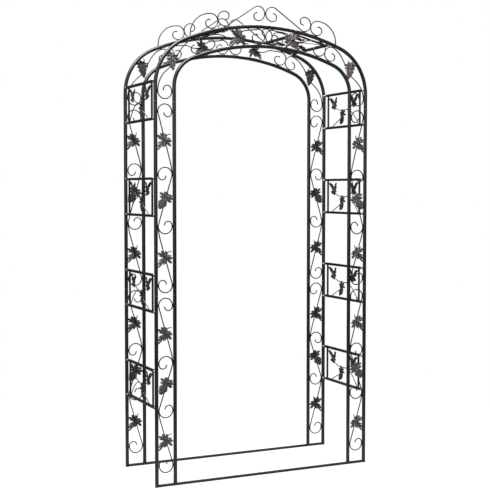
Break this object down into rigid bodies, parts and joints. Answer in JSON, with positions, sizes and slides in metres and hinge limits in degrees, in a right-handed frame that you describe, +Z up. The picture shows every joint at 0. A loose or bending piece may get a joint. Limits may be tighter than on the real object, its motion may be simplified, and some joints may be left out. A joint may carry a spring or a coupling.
{
  "type": "metal trellis arch",
  "caption": "Round-topped metal garden arch: two tubular arches filled with scrollwork, vine leaves and grapes, bolted together by leafy side panels.",
  "frame": {"origin": "on the ground, midway between the four legs", "axes": "+Z up; X across the path from left leg to right leg as seen from the front; Y along the path, from the front arch to the back arch"},
  "size_m": [1.2164, 0.471, 2.4222],
  "materials": {
    "black_paint": "satin",
    "bronze_paint": "satin",
    "zinc": "satin"
  },
  "bodies": {
    "root": {"back_base_rail": "black_paint", "back_left_crest": "bronze_paint", "back_left_lower_inner_tube": "black_paint", "back_left_lower_outer_tube": "black_paint", "back_left_lower_scrollwork": "bronze_paint", "back_left_top_inner_tube": "black_paint", "back_left_top_outer_tube": "black_paint", "back_left_top_scrollwork": "bronze_paint", "back_left_upper_inner_tube": "black_paint", "back_left_upper_outer_tube": "black_paint", "back_left_upper_scrollwork": "bronze_paint", "back_right_crest": "bronze_paint", "back_right_lower_inner_tube": "black_paint", "back_right_lower_outer_tube": "black_paint", "back_right_lower_scrollwork": "bronze_paint", "back_right_top_inner_tube": "black_paint", "back_right_top_outer_tube": "black_paint", "back_right_top_scrollwork": "bronze_paint", "back_right_upper_inner_tube": "black_paint", "back_right_upper_outer_tube": "black_paint", "back_right_upper_scrollwork": "bronze_paint", "front_base_rail": "black_paint", "front_left_crest": "bronze_paint", "front_left_lower_inner_tube": "black_paint", "front_left_lower_outer_tube": "black_paint", "front_left_lower_scrollwork": "bronze_paint", "front_left_top_inner_tube": "black_paint", "front_left_top_outer_tube": "black_paint", "front_left_top_scrollwork": "bronze_paint", "front_left_upper_inner_tube": "black_paint", "front_left_upper_outer_tube": "black_paint", "front_left_upper_scrollwork": "bronze_paint", "front_right_crest": "bronze_paint", "front_right_lower_inner_tube": "black_paint", "front_right_lower_outer_tube": "black_paint", "front_right_lower_scrollwork": "bronze_paint", "front_right_top_inner_tube": "black_paint", "front_right_top_outer_tube": "black_paint", "front_right_top_scrollwork": "bronze_paint", "front_right_upper_inner_tube": "black_paint", "front_right_upper_outer_tube": "black_paint", "front_right_upper_scrollwork": "bronze_paint", "left_side_panel_1": "black_paint", "left_side_panel_2": "black_paint", "left_side_panel_3": "black_paint", "left_side_panel_4": "black_paint", "left_top_panel": "black_paint", "right_side_panel_1": "black_paint", "right_side_panel_2": "black_paint", "right_side_panel_3": "black_paint", "right_side_panel_4": "black_paint", "right_top_panel": "black_paint"}
  },
  "joints": []
}
